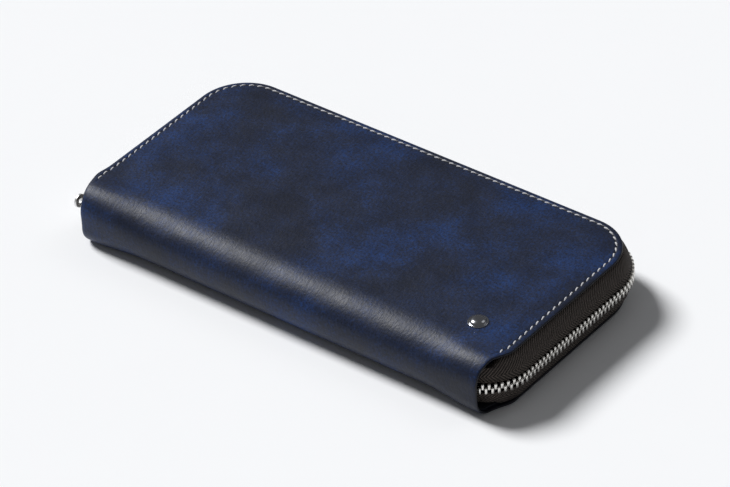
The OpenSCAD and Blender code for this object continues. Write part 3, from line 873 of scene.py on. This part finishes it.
def tape_piece(half, upper, body):
    """Half the main zip's tape. Past the turn there is no cover to tuck under, so its foot lifts."""
    stations = path_stations()
    foot = TAPE_LO[2]
    section, bend = tape_section()
    width = run_along(section)
    verts, uvs = [], []
    for x, y, a, s, turn in stations:
        o, z = section[:, 0], section[:, 1]
        lift = smooth((turn - 0.45) / 0.25)
        z_low = foot + (LIFTED_Z - foot) * lift
        lifted = (z < z_low + 0.8) & (lift > 0)
        z = np.where(lifted, np.maximum(z, z_low), z)
        o = np.where(lifted, np.maximum(o, TUCKED_X + 4.4 * lift), o)
        verts.append(np.c_[x + o * math.cos(a), y + o * math.sin(a), HEIGHT - z if upper else z])
        uvs.append(np.c_[np.full(len(o), s), width - width[bend]])
    v, f = lofted(verts)
    ob = add_mesh(f"zip_tape_{half}_woven", v, f, np.concatenate(uvs), [TAPE], angle=50)
    done(ob, "zip_tape", body, f"zip_tape_{half}")


for half, _, is_upper, body in HALVES:
    tape_piece(half, is_upper, body)

# ---- teeth
TOOTH_PITCH, TOOTH_HALF_W, TOOTH_FOOT = 2.3, 0.55, -2.25
TOOTH_PROFILE = [  # (height, half width along the chain, half depth)
    (TOOTH_FOOT, 0.42, 0.82), (-2.16, 0.50, 0.98), (-1.95, TOOTH_HALF_W, TOOTH_HALF_D),
    (-0.9, TOOTH_HALF_W, TOOTH_HALF_D), (-0.1, 0.545, 1.06), (0.22, 0.49, 1.0), (0.45, 0.37, 0.86),
    (0.57, 0.21, 0.62), (0.6, 0.07, 0.3)]


def on_chain(v, x, y, a, upper):
    """Moves a shape with its depth along X, its width along Y and its head up to a place on a chain."""
    c, s = math.cos(a), math.sin(a)
    return np.c_[x + c * v[:, 0] - s * v[:, 1], y + s * v[:, 0] + c * v[:, 1],
                 MID + (-v[:, 2] if upper else v[:, 2])]


def tooth_row(name, places, upper, scale=1.0):
    shape, faces = lofted([np.c_[rounded_rect(d * scale, w * scale, min(w, d) * 0.55 * scale),
                                 np.full(16, z * scale)] for z, w, d in TOOTH_PROFILE])
    pile = Pile()
    for x, y, a in places:
        pile.add(on_chain(shape, x, y, a, upper), faces,
                 np.c_[x + y + shape[:, 1], shape[:, 2] + shape[:, 0]])
    return pile.build(name, [NICKEL], angle=50)


CHAIN_R = CORNER_R + CHAIN_OFFSET
SLIDER_Y = middle_mm("zip_slider")[1]
STOP_L = 1.6
SLIDER_HALF_L = 4.5
STOP_START = -(straight_end(CHAIN_R) + TURN_Y - SLIDER_Y + SLIDER_HALF_L + STOP_L)
CHAIN_END = straight_end(CHAIN_R) + (TURN_R + CHAIN_OFFSET) * math.radians(56)
STOP_END = CHAIN_END + 3.6
FIRST, LAST = math.ceil((STOP_START + STOP_L) / TOOTH_PITCH), math.floor(CHAIN_END / TOOTH_PITCH) + 1
for half, _, is_upper, body in HALVES:
    shift = 0.0 if is_upper else 0.5  # in pitches, so that the rows mesh
    spots = [rim_point(CHAIN_OFFSET, (i + shift) * TOOTH_PITCH) for i in range(FIRST, LAST + 1)]
    done(tooth_row(f"zip_chain_{half}", spots, is_upper), "zip_metal", body, f"zip_teeth_{half}")
    pile = Pile()
    for s in (STOP_START, STOP_END):
        v, f = soft_box((-TOOTH_HALF_D, -STOP_L / 2, TOOTH_FOOT), (TOOTH_HALF_D, STOP_L / 2, -0.1), 0.45)
        pile.add(on_chain(v, *rim_point(CHAIN_OFFSET, s), is_upper), f)
    done(pile.build(f"zip_stop_blocks_{half}", [NICKEL]), "zip_metal", body, f"zip_stops_{half}")

# ---- sliders and pullers
# In a slider's own frame X points outwards, Y runs along the chain with the nose at -Y, Z is up.
PLATE_X, PLATE_T, PIN_X = 1.4, 0.9, 3.0
SHIELD_HALF, COIN_SHIELD_HALF = 4.3, 3.0  # the coin slider's inner shield is narrower, with no flanges
PULLER_END_R, PULLER_NECK, PULLER_START, PULLER_TRIM = 2.8, 1.5, 3.2, 0.8
PULLER_CORNER_R, PULLER_HOLE_R = 0.9, 0.95


def turned(verts):
    """A plate drawn in its own plane, stood up: its X runs along the chain, its Y up."""
    return np.c_[verts[:, 2], verts[:, 0], verts[:, 1]]


def shield(half_z, x):
    """Crowned plate of a slider, narrower towards its tail, with its middle at x."""
    half_l = SLIDER_HALF_L
    loop = rounded_rect(half_l, half_z, min(1.7, half_z * 0.8), 6)
    loop[:, 1] *= (1 - 0.16 * (loop[:, 0] + half_l) / (2 * half_l)
                   - 0.05 * np.cos(loop[:, 0] / half_l * math.pi / 2))
    v, f = plate(loop, [], PLATE_T, 0.3)
    v = turned(v)
    crown = 0.22 * (1 - (v[:, 1] / half_l) ** 2) * (1 - (v[:, 2] / 5) ** 2)
    v[:, 0] += x + np.sign(x) * crown * (v[:, 0] * x > 0)
    return v, f, v[:, 1:]


def slider_pile(inner_half):
    """Slider body: two shields, the post between them, flanges along their sides and the arch."""
    pile = Pile()
    pile.add(*shield(SHIELD_HALF, PLATE_X + PLATE_T / 2))
    pile.add(*shield(inner_half, -PLATE_X - PLATE_T / 2))
    pile.add(*soft_box((-PLATE_X - 0.1, -4.4, -0.9), (PLATE_X + 0.1, -2.3, 0.9), 0.5))
    flanges = [(0.4, PLATE_X + 0.2, 0.35)]
    if inner_half == SHIELD_HALF:
        flanges.append((-PLATE_X - 0.2, -1.05, 0.3))
    for x0, x1, r in flanges:
        for z0, z1 in ((3.1, 3.95), (-3.95, -3.1)):
            pile.add(*soft_box((x0, -4.3, z0), (x1, 4.2, z1), r))
    a = np.linspace(0, math.pi, 17)
    arch = np.c_[PLATE_X + PLATE_T - 0.3 + 2.05 * np.sin(a) ** 0.6, -2.15 * np.cos(a), np.zeros(17)]
    pile.add(*tube(arch, 0.36, 12, squash=2.2))
    return pile


def puller_pile(length):
    """Puller: a pin through the arch, two arms and a slim tab with a holed round end."""
    pile = Pile()
    z = np.linspace(-2.0, 2.0, 9)
    pile.add(*tube(np.c_[np.full(9, PIN_X), np.zeros(9), z], 0.48, 14))
    for lo, hi in ((-2.0, -1.12), (1.12, 2.0)):
        pile.add(*soft_box((PIN_X - 0.58, -4.2, lo), (PIN_X + 0.58, 0.58, hi), 0.4, 4))
    tip = length - PULLER_END_R - PULLER_TRIM
    joins = math.asin(PULLER_NECK / PULLER_END_R)
    outline = [(-tip - PULLER_END_R * math.cos(q), PULLER_END_R * math.sin(q))
               for q in np.linspace(math.pi - joins, joins - math.pi, 33)]
    r, flank = PULLER_CORNER_R, PULLER_NECK - PULLER_CORNER_R
    a = np.radians(np.linspace(0, 90, 7))
    outline += [(-PULLER_START - r + r * math.sin(q), -flank - r * math.cos(q)) for q in a]
    outline += [(-PULLER_START - r + r * math.cos(q), flank + r * math.sin(q)) for q in a]
    a = np.radians(np.linspace(0, 360, 24, endpoint=False))
    hole = [(-tip + PULLER_HOLE_R * math.cos(q), PULLER_HOLE_R * math.sin(q)) for q in a]
    v, f = plate(outline, [hole], 1.2, 0.32)
    pile.add(turned(v) + [PIN_X, 0, 0], f, v[:, :2])
    rim_r = PULLER_HOLE_R + 0.22
    rim = np.c_[np.full(24, PIN_X + 0.5), -tip + rim_r * np.cos(a), rim_r * np.sin(a)]
    pile.add(*tube(rim, 0.24, 8, closed=True))
    return pile


def main_zip_place(v):
    return np.c_[-(HALF_L + CHAIN_OFFSET + v[:, 0]), SLIDER_Y + v[:, 1], MID + v[:, 2]]


COIN_SCALE = 0.64
COIN_CHAIN_Y = middle_mm("coin_teeth_lower")[1]
COIN_SLIDER_X = middle_mm("coin_slider")[0]


def coin_zip_place(v):
    v = v * COIN_SCALE
    return np.c_[COIN_SLIDER_X + v[:, 1], COIN_CHAIN_Y + v[:, 0], MID + v[:, 2]]


coin_puller_l = (COIN_SLIDER_X - box_mm("coin_puller")[0][0]) / COIN_SCALE
main_puller_l = SLIDER_Y - box_mm("zip_puller")[0][1]
for pile, place, name, node, body in (
        (slider_pile(SHIELD_HALF), main_zip_place, "zip_slider_body", "zip_slider", "main_slider"),
        (puller_pile(main_puller_l), main_zip_place, "zip_puller_tab", "zip_puller", "main_puller"),
        (slider_pile(COIN_SHIELD_HALF), coin_zip_place, "coin_slider_body", "coin_slider", "pocket_slider"),
        (puller_pile(coin_puller_l), coin_zip_place, "coin_puller_tab", "coin_puller", "pocket_puller")):
    pile.v = [place(v) for v in pile.v]
    done(pile.build(name, [SLIDER]), "slider_metal", body, node)

# ---- coin pocket
for node in ("coin_panel_lower", "coin_panel_upper"):
    panel_piece(node, node, "spine", 1.2, (40, 90), wave=0.06)
for side in ("left", "right"):
    lo, hi = box_mm("coin_side_" + side)
    z = np.linspace(lo[2], hi[2], 9)
    bow = (lo[0] + hi[0]) / 2 + 0.12 * np.cos((z - MID) / (hi[2] - lo[2]) * math.pi * 2)
    rows = [np.r_[np.c_[bow + 0.13, np.full(9, y), z], np.c_[bow - 0.13, np.full(9, y), z][::-1]]
            for y in np.linspace(lo[1], hi[1], 30)]
    v, f = lofted(rows)
    ob = add_mesh(f"coin_gusset_{side}", v, f, v[:, 1:], [POCKET])
    done(ob, "pocket_leather", "spine", f"coin_side_{side}")

lo, hi = box_mm("coin_anchor")
panel_y = box_mm("coin_panel_lower")[0][1]
pile = Pile()
pile.add(*soft_box((lo[0] + 6, lo[1], MID - 0.24), (hi[0] - 6, panel_y + 0.4, MID + 0.24), 0.2, 2))
pile.add(*soft_box((lo[0], panel_y + 0.02, lo[2]), (hi[0], panel_y + 0.5, hi[2]), 0.2, 2))
done(pile.build("coin_floor_and_tab", [POCKET]), "pocket_leather", "spine", "coin_anchor")

lo, hi = box_mm("coin_tape_lower")
t = 0.42
section = np.array([
    (lo[1] + 0.03, lo[2]), (hi[1] - 0.6, lo[2]), (hi[1] - 0.15, lo[2] + 0.15), (hi[1], lo[2] + 0.6),
    (hi[1], hi[2] - 0.5), (hi[1] + 0.08, hi[2] - 0.2), (hi[1] - 0.1, hi[2]), (hi[1] - 0.4, hi[2]),
    (hi[1] - 0.5, hi[2] - 0.3), (hi[1] - t, hi[2] - 0.6), (hi[1] - t, lo[2] + 0.7),
    (hi[1] - 0.6, lo[2] + t + 0.05), (hi[1] - 0.9, lo[2] + t), (lo[1] + 0.03, lo[2] + t)])
width = run_along(section) + 2.8
for half, _, is_upper, _ in HALVES:
    z = HEIGHT - section[:, 1] if is_upper else section[:, 1]
    xs = np.linspace(lo[0], hi[0], 60)
    v, f = lofted([np.c_[np.full(len(section), x), section[:, 0], z] for x in xs])
    ob = add_mesh(f"coin_tape_{half}_woven", v, f, np.c_[v[:, 0], np.tile(width, 60)], [TAPE], angle=50)
    done(ob, "zip_tape", "spine", f"coin_tape_{half}")
    teeth_lo, teeth_hi = box_mm(f"coin_teeth_{half}")
    pitch, half_w = TOOTH_PITCH * COIN_SCALE, TOOTH_HALF_W * COIN_SCALE
    count = round((teeth_hi[0] - teeth_lo[0] - 2 * half_w) / pitch) + 1
    spots = [(teeth_lo[0] + half_w + i * pitch, COIN_CHAIN_Y, math.pi / 2) for i in range(count)]
    row = tooth_row(f"coin_chain_{half}", spots, is_upper, COIN_SCALE)
    done(row, "zip_metal", "spine", f"coin_teeth_{half}")
lo, hi = box_mm("coin_stops")
pile = Pile()
for x0 in (lo[0], hi[0] - STOP_L * COIN_SCALE):
    for z0, z1 in ((lo[2], MID - 0.26), (MID + 0.26, hi[2])):
        pile.add(*soft_box((x0, lo[1], z0), (x0 + STOP_L * COIN_SCALE, hi[1], z1), 0.2))
done(pile.build("coin_stop_blocks", [NICKEL]), "zip_metal", "spine", "coin_stops")

# ---- stitching inside
HEM, TIER_RISE = 1.5, 13  # a strip's seam in from its edge, and how much of each tier shows


def fine_seam(pile, start, along, out, count, pitch, length):
    """Straight row of fine stitches, with its middle at start."""
    seam(pile, lambda s: (start + s * np.array(along), along, (0, 0, out)), count, pitch, length, 0.17, 0.2,
         holes=False)


for half, _, is_upper, body in HALVES:
    pile = Pile()
    out = -1 if is_upper else 1
    for tier in TIERS:
        lo, hi = box_mm(f"card_strip_lower_{tier}")
        z = hi[2] + 0.01
        z = HEIGHT - z if is_upper else z
        fine_seam(pile, (0, hi[1] - HEM, z), (1, 0, 0), out, 29, 3.0, 1.9)
        for x in (-hi[0] + 1.6, 0, hi[0] - 1.6):
            fine_seam(pile, (x, (hi[1] + max(lo[1], hi[1] - TIER_RISE)) / 2, z), (0, 1, 0), out, 1, 3.6, 2.2)
    done(pile.build("card_seams_" + half, [THREAD, HOLE_SHADE]), "thread", body)
pile = Pile()
for half, out in (("lower", -1), ("upper", 1)):
    lo, hi = box_mm("coin_panel_" + half)
    fine_seam(pile, (0, hi[1] - HEM, lo[2] if out < 0 else hi[2]), (1, 0, 0), out, 28, 3.0, 1.9)
done(pile.build("coin_seams", [THREAD, HOLE_SHADE]), "thread", "spine")

# ---- badge: a plain domed stud
lo, hi = box_mm("badge_stud")
centre, radius = (lo + hi) / 2, (hi[0] - lo[0]) / 2
base = HEIGHT + 0.06
dome = hi[2] - base
lathe = [(radius - 0.25, -0.3), (radius - 0.03, 0.02), (radius, 0.25), (radius - 0.12, 0.48),
         (radius - 0.42, 0.56), (radius - 0.62, 0.46), (radius - 0.8, 0.5)]
for a in np.radians(np.linspace(8, 89, 14)):
    lathe.append(((radius - 0.85) * math.cos(a) ** 0.92, 0.52 + (dome - 0.52) * math.sin(a)))
turns = np.linspace(0, 2 * math.pi, 56, endpoint=False)
pile = Pile()
pile.add(*lofted([np.c_[centre[0] + r * np.cos(turns), centre[1] + r * np.sin(turns), np.full(56, base + z)]
                  for r, z in lathe]))
pile.add(*tube([(centre[0], centre[1], z) for z in np.linspace(lo[2], base, 4)], 1.0, 20))
done(pile.build("badge_dome", [STUD], angle=60), "stud_metal", "top_half", "badge_stud")

# ---- floor, light and camera
corners = [(-6, -6, 0), (6, -6, 0), (6, 6, 0), (-6, 6, 0)]  # metres
floor_mesh = bpy.data.meshes.new("floor")
floor_mesh.from_pydata(corners, [], [(0, 1, 2, 3)])
floor_mesh.materials.append(FLOOR)
floor = bpy.data.objects.new("floor", floor_mesh)
scene = bpy.context.scene
scene.collection.objects.link(floor)


def sun_light(name, direction, strength, angle):
    """Sun in that direction from the wallet, as wide as angle in degrees, for soft shadows."""
    light = bpy.data.lights.new(name, "SUN")
    light.energy = strength
    light.angle = math.radians(angle)
    ob = bpy.data.objects.new(name, light)
    scene.collection.objects.link(ob)
    ob.rotation_mode = "QUATERNION"
    ob.rotation_quaternion = Vector(direction).normalized().to_track_quat("Z", "Y")


sun_light("key", (-1.0, -0.03, 1.05), 3.82, 20)
sun_light("back", (0.26, 0.6, 0.75), 0.14, 30)

world = bpy.data.worlds.new("studio")
scene.world = world
world.use_nodes = True
sky = world.node_tree.nodes["Background"]
sky.inputs["Color"].default_value = (0.97, 0.98, 1.0, 1)
sky.inputs["Strength"].default_value = 0.13
scene.view_settings.view_transform = "Standard"
scene.view_settings.look = "None"

# The camera looks at TARGET, a point of the top cover.
TARGET, DISTANCE, LENS = (14.343, -11.917, HEIGHT), 1663.9, 220.3
azimuth, elevation, roll = np.radians((40.585, 36.804, -4.053))
camera_data = bpy.data.cameras.new("camera")
camera_data.sensor_width = 36.0
camera_data.lens = LENS
camera_data.clip_start, camera_data.clip_end = 0.1, 30.0
camera = bpy.data.objects.new("camera", camera_data)
scene.collection.objects.link(camera)
scene.camera = camera
back = np.array([math.sin(azimuth) * math.cos(elevation), -math.cos(azimuth) * math.cos(elevation),
                 math.sin(elevation)])
across = np.cross([0, 0, 1], back)
across /= np.linalg.norm(across)
up = np.cross(back, across)
right = across * math.cos(roll) + up * math.sin(roll)
above = up * math.cos(roll) - across * math.sin(roll)
place = (back * DISTANCE + TARGET) * MM
camera.matrix_world = Matrix([[right[i], above[i], back[i], place[i]] for i in range(3)] + [[0, 0, 0, 1]])
